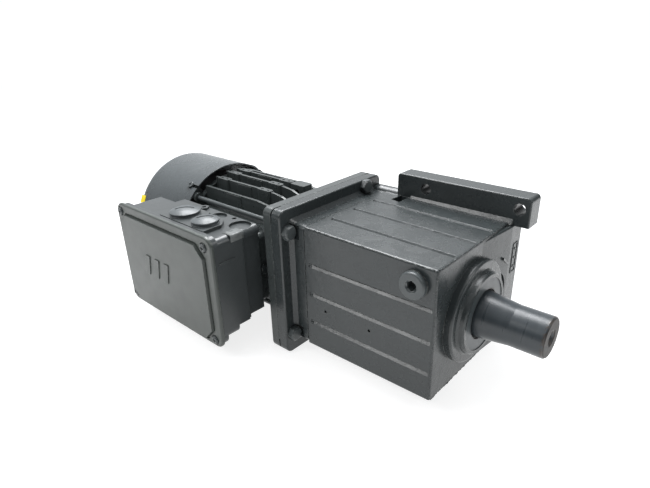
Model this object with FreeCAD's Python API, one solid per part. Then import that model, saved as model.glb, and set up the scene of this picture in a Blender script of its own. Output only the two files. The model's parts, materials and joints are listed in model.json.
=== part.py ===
import FreeCAD, Part
import math
import os

# Helical gearmotor: a two-stage in-line gear unit, foot-mounted on one long side, with
# an integrated squirrel-cage motor, fan, cowl and terminal box.  It is drawn lying on its side:
#   +X  output shaft direction        +Y  out of the foot face        +Z  up
# Stations along X are drawn from the joint plane of the two square flanges, and every
# solid is moved on export so that the origin is on the shaft axis, at the shaft shoulder.
# All lengths are in millimetres.

V = FreeCAD.Vector
OUT = "parts"

# ---------------------------------------------------------------- driving dimensions
SHOULDER_X = 203.0            # start of the plain output journal, seen from the flange joint
FLANGE_HALF = 75.5            # half side of both square flanges, and outer radius of the cowl
FLANGE_THICK = 11.6           # gear-side flange
MOTOR_FLANGE_X = -10.6        # motor-side face of the motor flange
GASKET = 0.4

CENTRE_DISTANCE = 38.25       # motor and output axis to intermediate axis, along +Y
MODULE = 1.5
PRESSURE_ANGLE = math.radians(20)
STAGE_1 = {"pinion": 12, "gear": 39, "shift": 0.30}
STAGE_2 = {"pinion": 11, "gear": 40, "shift": 0.35}
FLANK_THINNING = 0.07         # taken off each flank for backlash

# gear case
SEAM_X = 28.4
CASE_END_X = 163.3
CASE_NEAR = (-62.2, -60.8)    # near side at the seam and at the output end (casting draft)
CASE_HALF_Z = (61.9, 60.4)
FOOT_FACE_Y = 81.8
FOOT_INNER_Y = 62.2
FOOT_X = (43.3, 180.8)
FOOT_Z = (58.0, 85.1)
FOOT_HOLE_X = (76.6, 170.8)
FOOT_HOLE_Z = 73.9
FOOT_HOLE_R = 5.5
LOWER_THREAD_X = (90.0, 150.0)
LOWER_THREAD_Z = -52.0
LOWER_THREAD_R = 4.25
LOWER_THREAD_DEPTH = 17.0
PAD_X = 168.0                 # raised far part of the output face
CAVITY = {"near": -50.5, "far": 70.0, "half_z": 50.0}
LEDGE_X = 71.0                # the inner bracket seats here
LEDGE = 4.0
CAVITY_END_X = 150.0
GROOVE_NEAR_Z = (26.5, -3.3, -33.2)
GROOVE_TOP_Y = (-31.0, 1.8, 33.2)
GROOVE_X = (34.5, 160.5)
GROOVE_UPPER = 0.9            # each near-side groove opens this far above its floor line
GROOVE_LOWER = 3.2            # and this far below it
GROOVE_DEPTH = 2.4
TOP_GROOVE_HALF = 2.1
TOP_GROOVE_DEPTH = 1.7
DIMPLES = ((51.5, -17.0), (101.3, -17.0))
DIMPLE_R = 1.5
CASE_EDGE_R = 2.0
BOSS_OUTER_R = 46.2
BOSS_OUTER_X = 170.4
BOSS_INNER_R = 36.4
BOSS_INNER_X = 176.2
PLUG_X = 144.3
PLUG_Z = 44.0
PLUG_THREAD_R = 8.2
PLUG_HEAD_R = 11.6
PLUG_HEAD = 4.6

# flange screws: (y, z)
FLANGE_SCREWS = ((-67.0, 54.0), (-67.0, -54.0), (48.0, 69.0), (48.0, -69.0))
FLANGE_SCREW_FLATS = 13.0
FLANGE_SCREW_HEAD = 6.0
BRACKET_SCREWS = ((-40.0, 40.0), (-40.0, -40.0), (60.0, 40.0), (60.0, -40.0))
SCREW_GAP = 0.05

# stations of the running gear
BRACKET_X = (57.0, 71.0)
GEAR_1_X = (36.0, 52.0)
PINION_1_X = (33.5, 54.5)
GEAR_2_X = (84.0, 104.0)
PINION_2_X = (82.0, 106.0)
JOURNAL_R = 17.5
SHAFT_END_X = 231.6
BEARING_SEAT_R = 22.5
SEAL_R = 20.5

# motor
FRAME_R = 55.0
FRAME_BORE_R = 50.0
FIN_R = 70.0
FRAME_X = (-150.0, -10.6)
FIN_PITCH = 15.5
FIN_Y = tuple(-36.25 + FIN_PITCH * i for i in range(6))
FIN_THICK = 2.8
TIE_ROD_AT = 48.1
TIE_ROD_R = 2.5
CORE_X = (-125.0, -45.0)
ROTOR_R = 31.0
STATOR_BORE_R = 31.5
COWL_X = (-250.3, -153.4)
COWL_WALL = 1.5
COWL_CORNER = 11.0
GRILLE_R = (12.0, 21.0, 30.0, 39.0, 48.0, 57.0)
GRILLE_SLOT = 5.5
COWL_SCREW_ANGLES = (52.0, 128.0, 232.0, 308.0)   # from -Y towards +Z
COWL_SCREW_X = -165.5

# terminal box on the near side
BOX_X = (-184.0, -27.0)
BOX_Y = (-121.0, -67.0)
BOX_NECK_X = -149.5           # behind the cowl's mouth the box is shallower
BOX_Z = (-52.0, 51.8)
BOX_FLOOR_Z = -38.0           # inner floor of the shallow part
LID_X = (-191.6, -25.8)
LID_Z = (-60.6, 56.2)
LID_BACK_Y = -122.0
LID_FACE_Y = -125.4           # border of the lid
PANEL_Y = -127.8              # raised panel
PANEL_X = (-185.0, -37.0)
PANEL_Z = (-55.5, 46.2)
PANEL_CUT = 12.0
BOX_SCREWS = ((-140.0, -30.0), (-140.0, 30.0), (-44.0, -30.0), (-44.0, 30.0))   # x, z
LID_SCREWS = ((-183.5, 47.5), (-36.8, 45.6), (-36.8, -53.0), (-183.5, -51.0))
KNOCKOUTS = ((-41.0, -78.5, 10.8), (-77.3, -76.5, 8.8))   # x, y, radius on the top face
EARTH_Y = -60.5
ENTRY_PAD_Z = 55.0
ENTRIES = ((-103.0, -97.5, 15.5), (-66.0, -100.0, 13.5))   # x, y, head radius of each plug


# ---------------------------------------------------------------- helpers
def save(name, *shapes):
    """Write one node, moved so that the origin is at the shaft shoulder."""
    solids = []
    for shape in shapes:
        solids.extend(shape.Solids)
    node = solids[0].copy() if len(solids) == 1 else Part.makeCompound(solids)
    node.translate(V(-SHOULDER_X, 0, 0))
    node.exportStep(os.path.join(OUT, name + ".step"))
    volume = sum(s.Volume for s in solids) / 1000.0
    print("%-34s %3d solids %9.2f cm3 valid %s" % (name, len(solids), volume, node.isValid()))


def box(x, y, z):
    """Box between the two ends given for each axis."""
    return Part.makeBox(x[1] - x[0], y[1] - y[0], z[1] - z[0], V(x[0], y[0], z[0]))


def rounded_box(x, y, z, radius, along="X"):
    """Box whose four edges along one axis are rounded."""
    solid = box(x, y, z)
    direction = {"X": V(1, 0, 0), "Y": V(0, 1, 0), "Z": V(0, 0, 1)}[along]
    edges = [e for e in solid.Edges if abs(abs(e.tangentAt(0).dot(direction)) - 1) < 1e-6]
    return solid.makeFillet(radius, edges)


def rod(x0, x1, radius, y=0.0, z=0.0):
    """Cylinder along X."""
    return Part.makeCylinder(radius, x1 - x0, V(x0, y, z), V(1, 0, 0))


def tube(x0, x1, outer, inner, y=0.0, z=0.0):
    """Hollow cylinder along X."""
    return rod(x0, x1, outer, y, z).cut(rod(x0 - 1, x1 + 1, inner, y, z))


def peg(start, direction, length, radius):
    """Cylinder from a point along a direction."""
    return Part.makeCylinder(radius, length, V(*start), V(*direction))


def turned(profile, y=0.0):
    """Solid of revolution about an axis along X, from (x, radius) points."""
    points = [V(x, r, 0) for x, r in profile]
    face = Part.Face(Part.makePolygon(points + points[:1]))
    solid = face.revolve(V(0, 0, 0), V(1, 0, 0), 360)
    if not isinstance(solid, Part.Solid):
        solid = Part.Solid(solid) if solid.ShapeType == "Shell" else solid.Solids[0]
    solid.translate(V(0, y, 0))
    return solid


def prism(points, direction):
    """Polygon given as 3-D points, pushed along a vector."""
    corners = [V(*p) for p in points]
    return Part.Face(Part.makePolygon(corners + corners[:1])).extrude(V(*direction))


def joined(first, *others):
    """One solid from touching ones."""
    return first.fuse(list(others)).removeSplitter()


def around(angle, radius):
    """(y, z) of a point at an angle from -Y towards +Z."""
    a = math.radians(angle)
    return -radius * math.cos(a), radius * math.sin(a)


def hexagon(start, direction, length, across_flats):
    """Hexagonal prism from a point along one of the three axes."""
    radius = across_flats / math.sqrt(3)
    along = V(*direction)
    side = V(0, 0, 1) if abs(along.z) < 0.5 else V(1, 0, 0)
    other = along.cross(side)
    ring = []
    for i in range(6):
        a = math.radians(60 * i)
        ring.append(V(*start) + side * (radius * math.cos(a)) + other * (radius * math.sin(a)))
    return Part.Face(Part.makePolygon(ring + ring[:1])).extrude(along * length)


def cap_screw(start, direction, length, radius):
    """Socket-head screw: start is under the head, direction runs down the shank."""
    along = V(*direction)
    head_r = radius * 1.62
    head_h = radius * 2.0
    top = V(*start) - along * head_h
    head = Part.makeCylinder(head_r, head_h, top, along)
    rim = [e for e in head.Edges if isinstance(e.Curve, Part.Circle)
           and (e.Curve.Center - top).Length < 1e-6]
    head = head.makeFillet(radius * 0.18, rim)
    shank = Part.makeCylinder(radius, length, V(*start), along)
    socket = hexagon(tuple(top), direction, head_h * 0.6, radius * 1.5)
    return head.fuse(shank).cut(socket).removeSplitter()


def hex_screw(start, length, radius):
    """Hexagon screw along -X with two flats level: start is under the head."""
    x, y, z = start
    head = hexagon((x, y, z), (1, 0, 0), FLANGE_SCREW_HEAD, FLANGE_SCREW_FLATS)
    head.rotate(V(x, y, z), V(1, 0, 0), 30.0)
    corner = FLANGE_SCREW_FLATS / math.sqrt(3)
    crown = turned([(x, 0), (x, corner), (x + FLANGE_SCREW_HEAD - 1.4, corner),
                    (x + FLANGE_SCREW_HEAD, corner - 1.9), (x + FLANGE_SCREW_HEAD, 0)], y)
    crown.translate(V(0, 0, z))
    shank = rod(x - length, x + 0.5, radius, y, z)
    return head.common(crown).fuse(shank).removeSplitter()


def involute(angle):
    return math.tan(angle) - angle


def gear_wire(x, teeth, shift, phase, y):
    """Closed tooth outline in the plane at x: involute flanks, straight tips and roots."""
    pitch_r = MODULE * teeth / 2.0
    base_r = pitch_r * math.cos(PRESSURE_ANGLE)
    tip_r = pitch_r + MODULE * (1.0 + shift)
    root_r = pitch_r - MODULE * (1.25 - shift)
    half_pitch = (math.pi / 2 + 2 * shift * math.tan(PRESSURE_ANGLE)) / teeth
    half_pitch -= FLANK_THINNING / pitch_r
    start_r = max(base_r, root_r)
    radii = [start_r + (tip_r - start_r) * i / 4.0 for i in range(5)]

    def at(radius, angle):
        return V(x, y + radius * math.cos(angle), radius * math.sin(angle))

    def half_angle(radius):
        return half_pitch + involute(PRESSURE_ANGLE) - involute(math.acos(min(1.0, base_r / radius)))

    edges = []
    last = None
    first = None
    for i in range(teeth):
        centre = phase + 2 * math.pi * i / teeth
        rise = [at(r, centre - half_angle(r)) for r in radii]
        fall = [at(r, centre + half_angle(r)) for r in reversed(radii)]
        foot_a = at(root_r, centre - half_angle(start_r))
        foot_b = at(root_r, centre + half_angle(start_r))
        if last is not None:
            edges.append(Part.makeLine(last, foot_a))
        else:
            first = foot_a
        if start_r - root_r > 1e-6:
            edges.append(Part.makeLine(foot_a, rise[0]))
        for flank in (rise, fall):
            curve = Part.BSplineCurve()
            curve.interpolate(flank)
            edges.append(curve.toShape())
            if flank is rise:
                edges.append(Part.makeLine(rise[-1], fall[0]))
        if start_r - root_r > 1e-6:
            edges.append(Part.makeLine(fall[-1], foot_b))
        last = foot_b
    edges.append(Part.makeLine(last, first))
    return Part.Wire(edges)


def toothed(x, teeth, shift, phase, y=0.0):
    """Solid spur wheel between two stations."""
    face = Part.Face(gear_wire(x[0], teeth, shift, phase, y))
    return face.extrude(V(x[1] - x[0], 0, 0))


def ball_bearings(name, starts, width, bore_r, outer_r, y=0.0, balls=8):
    """Like deep-groove ball bearings in three nodes: outer rings, inner rings and balls."""
    mean_r = (bore_r + outer_r) / 2.0
    ball_r = (outer_r - bore_r) * 0.29
    outers = []
    inners = []
    spheres = []
    for x0 in starts:
        centre = V(x0 + width / 2.0, y, 0)
        groove = Part.makeTorus(mean_r, ball_r + 0.3, centre, V(1, 0, 0))
        outers.append(tube(x0, x0 + width, outer_r, mean_r + ball_r * 0.55, y).cut(groove))
        inners.append(tube(x0, x0 + width, mean_r - ball_r * 0.55, bore_r, y).cut(groove))
        for i in range(balls):
            a = 2 * math.pi * i / balls
            place = centre + V(0, mean_r * math.cos(a), mean_r * math.sin(a))
            spheres.append(Part.makeSphere(ball_r, place))
    save(name + "_outer_ring", *outers)
    save(name + "_inner_ring", *inners)
    save(name + "_balls", *spheres)


def lip_seal(name, x0, width, shaft_r, outer_r):
    """Radial shaft seal: a stiff outer ring, a web and a lip just clear of the shaft."""
    lip_r = shaft_r + 0.1
    save(name, turned([
        (x0, outer_r), (x0 + width, outer_r), (x0 + width, lip_r + 1.8),
        (x0 + width - 1.6, lip_r + 1.8), (x0 + width * 0.55, lip_r),
        (x0 + width * 0.40, lip_r), (x0 + 1.0, lip_r + 3.0), (x0 + 1.0, outer_r - 1.6),
        (x0, outer_r - 1.6)]))


def circlip(x0, thick, inner_r, outer_r, y=0.0):
    """Open retaining ring with its gap towards +Z."""
    ring = tube(x0, x0 + thick, outer_r, inner_r, y)
    return ring.cut(box((x0 - 1, x0 + thick + 1), (y - 2.0, y + 2.0), (0, outer_r + 1)))


# ---------------------------------------------------------------- gear unit: case
def case_body():
    """Drafted block of the case, with its long edges rounded."""
    body = Part.makeWedge(-FOOT_FACE_Y, SEAM_X, -CASE_HALF_Z[0], -CASE_HALF_Z[1], -FOOT_FACE_Y,
                          -CASE_NEAR[0], CASE_END_X, CASE_HALF_Z[0], CASE_HALF_Z[1],
                          -CASE_NEAR[1])
    body.rotate(V(0, 0, 0), V(0, 0, 1), -90)
    output_rim = [e for e in body.Edges if e.BoundBox.XMin > CASE_END_X - 0.01]
    long_edges = [e for e in body.Edges if e.BoundBox.XLength > 1.0]
    return body.makeFillet(CASE_EDGE_R, long_edges + output_rim)


def case_neck():
    """Square neck behind the flange, flaring into it."""
    neck = rounded_box((5, SEAM_X + 0.2), (-61.7, 71.0), (-61.4, 61.4), 5.0)

    def ring(x, half):
        outline = rounded_box((x, x + 0.5), (-half, half), (-half, half), 6.0)
        return [f for f in outline.Faces if f.BoundBox.XMax < x + 1e-4][0].OuterWire
    flare = Part.makeLoft([ring(FLANGE_THICK - 1.0, 66.4), ring(15.6, 61.2)], True, True)
    return [neck, flare]


def case_flange():
    """Square flange with rounded corners and a relief at each corner of the joint face."""
    flange = rounded_box((0, FLANGE_THICK), (-FLANGE_HALF, FLANGE_HALF),
                         (-FLANGE_HALF, FLANGE_HALF), 7.0)
    rim = [e for e in flange.Edges if e.BoundBox.XMin > FLANGE_THICK - 0.01]
    flange = flange.makeFillet(1.6, rim)
    for sy in (-1, 1):
        for sz in (-1, 1):
            ys = sorted((sy * (FLANGE_HALF - 13), sy * (FLANGE_HALF + 1)))
            zs = sorted((sz * (FLANGE_HALF - 13), sz * (FLANGE_HALF + 1)))
            flange = flange.cut(box((-1, 1.3), ys, zs))
    return flange


def foot_bar():
    """Mounting bar along the upper side of the foot face, with its two bolt holes."""
    bar = box(FOOT_X, (FOOT_INNER_Y, FOOT_FACE_Y), FOOT_Z)
    corners = [e for e in bar.Edges if abs(e.tangentAt(0).y) > 0.9 and e.BoundBox.ZMin > 80]
    bar = bar.makeFillet(4.0, corners)
    front = [e for e in bar.Edges if e.BoundBox.YMax < FOOT_INNER_Y + 0.01
             and e.BoundBox.ZMin > 60 and e.BoundBox.ZMax > 70]
    bar = bar.makeFillet(1.2, front)
    fillet = prism([(60, FOOT_INNER_Y - 3, 59), (60, FOOT_INNER_Y + 1, 59),
                    (60, FOOT_INNER_Y + 1, 64), (60, FOOT_INNER_Y, 64)], (106, 0, 0))
    return joined(bar, fillet)


def foot_web():
    """Rounded web that ties the neck to the end of the foot bar."""
    return [rod(12, 46, 9.5, 70.5, 56.0), box((12, 46), (52, 80), (20, 56))]


def pocket_tool():
    """Three-cornered recess under the motor end of the foot bar."""
    plan = [(46.5, 46.5, 52.5), (57.5, 44.8, 52.5), (57.5, 62.0, 52.5), (48.5, 62.0, 52.5)]
    return prism(plan, (0, 0, 16.5))


def drafted(x, at_seam, at_end):
    """Value at x of something that tapers from the seam to the output end of the case."""
    return at_seam + (at_end - at_seam) * (x - SEAM_X) / (CASE_END_X - SEAM_X)


def tapered_groove(rings):
    """Groove cutter lofted between two outlines of (x, y, z) points."""
    wires = []
    for ring in rings:
        corners = [V(*p) for p in ring]
        wires.append(Part.makePolygon(corners + corners[:1]))
    return Part.makeLoft(wires, True, True)


def grooves():
    """V grooves that follow the drafted near side and top, and the seam beside the neck."""
    tools = []
    for z in GROOVE_NEAR_Z:
        rings = []
        for x in GROOVE_X:
            y = drafted(x, *CASE_NEAR)
            rings.append([(x, y - 2, z + GROOVE_UPPER), (x, y, z + GROOVE_UPPER),
                          (x, y + GROOVE_DEPTH, z), (x, y + GROOVE_DEPTH, z - 0.5),
                          (x, y, z - GROOVE_LOWER), (x, y - 2, z - GROOVE_LOWER)])
        tools.append(tapered_groove(rings))
    for y in GROOVE_TOP_Y:
        rings = []
        for x in GROOVE_X:
            z = drafted(x, *CASE_HALF_Z)
            rings.append([(x, y - TOP_GROOVE_HALF, z + 2), (x, y - TOP_GROOVE_HALF, z),
                          (x, y, z - TOP_GROOVE_DEPTH), (x, y + TOP_GROOVE_HALF, z),
                          (x, y + TOP_GROOVE_HALF, z + 2)])
        tools.append(tapered_groove(rings))
    seam = (SEAM_X - 1.0, SEAM_X + 0.4)
    tools.append(box(seam, (-66, -61.0), (-62, 63)))
    tools.append(box(seam, (-66, 40), (60.8, 66)))
    return tools


def groove_runouts():
    """Round run-out at the motor end of each near-side groove, as the pattern leaves it."""
    return [Part.makeSphere(2.6, V(GROOVE_X[0], CASE_NEAR[0] - 0.9, z - 1.0))
            for z in GROOVE_NEAR_Z]


def case_cavity():
    """Inner space of the case, less the bosses that stand in it."""
    front = box((-2, LEDGE_X), (CAVITY["near"], CAVITY["far"]),
                (-CAVITY["half_z"], CAVITY["half_z"]))
    rear = box((LEDGE_X - 1, CAVITY_END_X), (CAVITY["near"] + LEDGE, CAVITY["far"] - LEDGE),
               (-CAVITY["half_z"] + LEDGE, CAVITY["half_z"] - LEDGE))
    bosses = [rod(136.5, 151, 45.0), rod(114.0, 151, 22.5, CENTRE_DISTANCE)]
    for y, z in BRACKET_SCREWS:
        bosses.append(rod(LEDGE_X, 92, 8.0, y, z))
    for boss in bosses:
        rear = rear.cut(boss)
    return front.fuse(rear)


def case_bores():
    """Machined bores for the shafts, bearings, seal, screws and plugs."""
    tools = [
        rod(138.6, 157.0, 37.5),
        turned([(138.8, 0), (138.8, 39.4), (140.7, 39.4), (140.7, 0)]),
        rod(156, 167.5, 30.0),
        rod(166.5, 180, 32.5),
        rod(113, 134, 18.6),
        rod(133.5, 139, 28.0),
        rod(113, 127.1, 16.0, CENTRE_DISTANCE),
    ]
    for y, z in FLANGE_SCREWS:
        tools.append(rod(-1, FLANGE_THICK + 1, 4.5, y, z))
        tools.append(rod(FLANGE_THICK, 21.5, 9.0, y, z))
    for y, z in BRACKET_SCREWS:
        tools.append(rod(LEDGE_X - 1, 88, 3.0 + SCREW_GAP, y, z))
    tools.append(peg((PLUG_X, -70, PLUG_Z), (0, 1, 0), 26, PLUG_THREAD_R))
    tools.append(peg((PLUG_X, -30, -70), (0, 0, 1), 26, PLUG_THREAD_R))
    for x in FOOT_HOLE_X:
        tools.append(peg((x, FOOT_INNER_Y - 5, FOOT_HOLE_Z), (0, 1, 0), 30, FOOT_HOLE_R))
    for x in LOWER_THREAD_X:
        start = (x, FOOT_FACE_Y - LOWER_THREAD_DEPTH, LOWER_THREAD_Z)
        tools.append(peg(start, (0, 1, 0), LOWER_THREAD_DEPTH + 1, LOWER_THREAD_R))
    for x, z in DIMPLES:
        tools.append(peg((x, -63, z), (0, 1, 0), 4.6, DIMPLE_R))
    return tools


def output_boss():
    """Stepped boss round the output shaft, and the crescent relief beside it."""
    outer = rod(155, BOSS_OUTER_X, BOSS_OUTER_R)
    edge = [e for e in outer.Edges if e.BoundBox.XMin > BOSS_OUTER_X - 0.01]
    outer = outer.makeFillet(2.2, edge)
    inner = turned([(160, 0), (160, BOSS_INNER_R + 2.4), (BOSS_OUTER_X, BOSS_INNER_R + 2.4),
                    (BOSS_OUTER_X + 1.6, BOSS_INNER_R + 0.5), (BOSS_INNER_X - 1.2, BOSS_INNER_R),
                    (BOSS_INNER_X, BOSS_INNER_R - 1.2), (BOSS_INNER_X, 0)])
    return [outer, inner]


def far_pad():
    """Far part of the output face: it leans outwards and carries a plain frame and a rib."""
    lean = prism([(158, 12, -58.5), (CASE_END_X, 12, -58.5), (PAD_X, 60, -58.5),
                  (PAD_X, FOOT_FACE_Y, -58.5), (158, FOOT_FACE_Y, -58.5)], (0, 0, 117.0))
    outer_edges = [e for e in lean.Edges if e.BoundBox.XMin > CASE_END_X - 0.01
                   and (e.BoundBox.YMin > 50 or e.BoundBox.YLength > 10)]
    lean = lean.makeFillet(1.5, outer_edges)
    frame = box((PAD_X - 1, PAD_X + 0.6), (66.5, 76.0), (9.0, 39.0))
    frame = frame.cut(box((PAD_X, PAD_X + 1), (67.4, 75.1), (9.9, 38.1)))
    for z in (15.0, 24.0, 33.0):
        frame = frame.fuse(rod(PAD_X - 1, PAD_X + 0.6, 1.3, 71.3, z))
    rib = prism([(PAD_X - 4, 47, 30), (PAD_X - 4, 60, 20), (PAD_X - 4, 60, 22),
                 (PAD_X - 4, 48, 32)], (4.5, 0, 0))
    return [lean, frame, rib]


def gear_case():
    outer = joined(case_body(), *case_neck(), case_flange(), foot_bar(), *foot_web(),
                   *output_boss(), *far_pad())
    seat = peg((PLUG_X, -61.6, PLUG_Z), (0, 1, 0), 6, 11.4)
    seat_low = peg((PLUG_X, -30, -61.2), (0, 0, 1), 6, 11.4)
    outer = joined(outer, seat, seat_low)
    relief = rod(162.0, PAD_X + 3, 19.0, CENTRE_DISTANCE).cut(rod(150, 200, BOSS_OUTER_R - 0.2))
    tools = [relief, pocket_tool(), case_cavity()] + grooves() + groove_runouts() + case_bores()
    case = outer.cut(tools)
    save("gear_case", case)


def inner_bearing_bracket():
    """Plate that carries the motor-side bearings of both gear shafts."""
    gap = 0.3
    plate = rounded_box(BRACKET_X, (CAVITY["near"] + gap, CAVITY["far"] - gap),
                        (-CAVITY["half_z"] + gap, CAVITY["half_z"] - gap), 5.0)
    tools = [rod(59.0, 72, 21.0), rod(56, 60, 8.0),
             rod(59.5, 72, 16.0, CENTRE_DISTANCE), rod(56, 60, 12.0, CENTRE_DISTANCE)]
    for y, z in BRACKET_SCREWS:
        tools.append(rod(56, 72, 3.3, y, z))
    tools.append(box((56, 72), (-34, -26), (-24, 24)))
    save("inner_bearing_bracket", plate.cut(tools))


def screws():
    """All machine screws of the gear unit and its flange joint."""
    save("bracket_screws", *[cap_screw((BRACKET_X[0], y, z), (1, 0, 0), 26, 3.0)
                             for y, z in BRACKET_SCREWS])
    save("flange_screws", *[hex_screw((FLANGE_THICK, y, z), 19.5, 4.0)
                            for y, z in FLANGE_SCREWS])


def oil_plugs():
    """Socket plugs on sealing rings, on the near side and the lower side."""
    plugs = []
    seals = []
    for start, inward in (((PLUG_X, -61.6, PLUG_Z), (0, 1, 0)), ((PLUG_X, -30, -61.2), (0, 0, 1))):
        along = V(*inward)
        face = V(*start)
        top = face - along * (PLUG_HEAD + 1.0)
        seals.append(Part.makeCylinder(PLUG_HEAD_R - 0.9, 1.0, face - along, along).cut(
            Part.makeCylinder(PLUG_THREAD_R + 0.1, 3, face - along * 2, along)))
        head = Part.makeCylinder(PLUG_HEAD_R, PLUG_HEAD, top, along)
        rim = [e for e in head.Edges if isinstance(e.Curve, Part.Circle)
               and (e.Curve.Center - top).Length < 1e-6]
        head = head.makeFillet(1.6, rim)
        thread = Part.makeCylinder(PLUG_THREAD_R - SCREW_GAP, 12.0, face - along, along)
        socket = hexagon(tuple(top), inward, 8.5, 8.0)
        mouth = Part.makeCone(5.4, 4.4, 1.2, top, along)
        plugs.append(head.fuse(thread).cut([socket, mouth]).removeSplitter())
    save("oil_plugs", *plugs)
    save("oil_plug_seals", *seals)


# ---------------------------------------------------------------- gear unit: running gear
def output_shaft():
    shaft = turned([
        (59.3, 0), (59.3, 9.4), (59.9, 10.0), (71.0, 10.0), (71.0, 14.0), (84.0, 14.0),
        (84.0, 19.0), (104.0, 19.0), (104.0, 23.0), (110.0, 23.0), (110.0, 17.0),
        (135.0, 17.0), (135.0, 26.0), (141.0, 26.0), (141.0, BEARING_SEAT_R),
        (161.5, BEARING_SEAT_R), (163.5, SEAL_R), (177.2, SEAL_R),
        (SHOULDER_X, JOURNAL_R), (SHAFT_END_X - 1.4, JOURNAL_R), (SHAFT_END_X, JOURNAL_R - 1.4),
        (SHAFT_END_X, 7.6), (SHAFT_END_X - 2.4, 5.1), (SHAFT_END_X - 30, 5.1), (SHAFT_END_X - 33, 0)])
    gear_key_slot = box((86.0, 102.0), (-30, -14.0), (-5.0, 5.0))
    journal_key_slot = rounded_box((SHOULDER_X + 1.5, SHAFT_END_X - 4.0), (12.5, 25),
                                   (-5.0, 5.0), 4.9, "Y")
    clip_slot = tube(157.0, 158.9, 24, 21.2)
    save("output_shaft", shaft.cut([gear_key_slot, journal_key_slot, clip_slot]))
    save("output_gear_key", box((86.1, 101.9), (-21.8, -14.0), (-4.98, 4.98)))
    save("output_shaft_circlip", circlip(157.05, 1.75, 21.3, 25.4))


def output_gear():
    teeth = STAGE_2["gear"]
    wheel = toothed(GEAR_2_X, teeth, -STAGE_2["shift"], math.pi / teeth)
    tools = [rod(80, 110, 19.0), box((80, 110), (-22.0, 0), (-5.02, 5.02))]
    tools.append(tube(83, 88, 27.0, 24.0))
    tools.append(tube(100, 105, 27.0, 24.0))
    save("output_gear", wheel.cut(tools))


def intermediate_shaft():
    """Pinion shaft of the second stage, carrying the first-stage wheel."""
    turned_shaft = turned([
        (31.5, 0), (31.5, 7.0), (32.0, 7.5), (69.0, 7.5), (69.0, 9.0), (81.0, 9.0),
        (82.0, 6.6), (106.0, 6.6), (107.0, 9.0), (118.0, 9.0), (118.0, 7.5), (126.4, 7.5),
        (127.0, 6.9), (127.0, 0)], CENTRE_DISTANCE)
    pinion = toothed(PINION_2_X, STAGE_2["pinion"], STAGE_2["shift"], math.pi, CENTRE_DISTANCE)
    shaft = turned_shaft.fuse(pinion)
    shaft = shaft.cut(tube(33.5, 34.8, 9.0, 6.9, CENTRE_DISTANCE))
    save("intermediate_shaft", shaft)
    save("intermediate_circlip", circlip(33.55, 1.2, 6.95, 10.2, CENTRE_DISTANCE))
    save("intermediate_spacer", tube(52.0, 60.0, 10.0, 7.5, CENTRE_DISTANCE))


def intermediate_gear():
    teeth = STAGE_1["gear"]
    phase = math.pi + math.pi / teeth
    wheel = toothed(GEAR_1_X, teeth, -STAGE_1["shift"], phase, CENTRE_DISTANCE)
    hub = rod(34.9, GEAR_1_X[0] + 1, 14.0, CENTRE_DISTANCE)
    web_a = tube(35, 39.5, 24.0, 14.0, CENTRE_DISTANCE)
    web_b = tube(48.5, 53, 24.0, 14.0, CENTRE_DISTANCE)
    wheel = wheel.fuse(hub).cut([rod(30, 60, 7.5, CENTRE_DISTANCE), web_a, web_b])
    save("intermediate_gear", wheel)


def gear_unit_bearings():
    ball_bearings("output_front_bearing", (141.0,), 16.0, BEARING_SEAT_R, 37.5, 0.0, 10)
    ball_bearings("output_rear_bearing", (59.0,), 12.0, 10.0, 21.0, 0.0, 9)
    ball_bearings("intermediate_bearings", (60.0, 118.0), 9.0, 7.5, 16.0, CENTRE_DISTANCE, 9)
    lip_seal("output_shaft_seal", 167.6, 8.0, SEAL_R, 32.5)
    save("output_bearing_circlip", circlip(138.9, 1.7, 34.0, 39.3))


# ---------------------------------------------------------------- motor: static parts
def flange_gasket():
    outer = rounded_box((-GASKET, 0), (-61, 61), (-61, 61), 6.0)
    tools = [box((-1, 1), (CAVITY["near"], 58.0), (-CAVITY["half_z"], CAVITY["half_z"]))]
    for y, z in FLANGE_SCREWS:
        tools.append(rod(-1, 1, 5.0, y, z))
    save("flange_gasket", outer.cut(tools))


def motor_flange():
    """Square drive-end flange with the bearing hub and both spigots."""
    flange = rounded_box((MOTOR_FLANGE_X, -GASKET), (-FLANGE_HALF, FLANGE_HALF),
                         (-FLANGE_HALF, FLANGE_HALF), 7.0)
    rim = [e for e in flange.Edges if e.BoundBox.XMax < MOTOR_FLANGE_X + 0.01]
    flange = flange.makeFillet(1.4, rim)
    hub = rod(-31.0, MOTOR_FLANGE_X + 1, 30.0)
    frame_spigot = tube(-17.0, MOTOR_FLANGE_X + 1, FRAME_BORE_R - 0.05, 44.0)
    case_spigot = tube(-1.0, 4.0, CAVITY["half_z"] - 0.2, 44.0)
    ribs = []
    for i in range(6):
        rib = box((-20, MOTOR_FLANGE_X + 1), (28, 46), (-2, 2))
        rib.rotate(V(0, 0, 0), V(1, 0, 0), 60 * i + 15)
        ribs.append(rib)
    flange = joined(flange, hub, frame_spigot, case_spigot, *ribs)
    tools = [rod(-32, -16.0, 23.5), rod(-17, 0.5, 11.0), rod(-9.0, 1, 17.5)]
    for y, z in FLANGE_SCREWS:
        tools.append(rod(-9.0, 1, 4.0 + SCREW_GAP, y, z))
    for sy in (-1, 1):
        for sz in (-1, 1):
            tools.append(rod(-12, -3.5, TIE_ROD_R + SCREW_GAP, sy * TIE_ROD_AT, sz * TIE_ROD_AT))
    save("motor_flange", flange.cut(tools))


def fin_height(offset):
    return math.sqrt(FIN_R ** 2 - offset ** 2)


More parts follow.
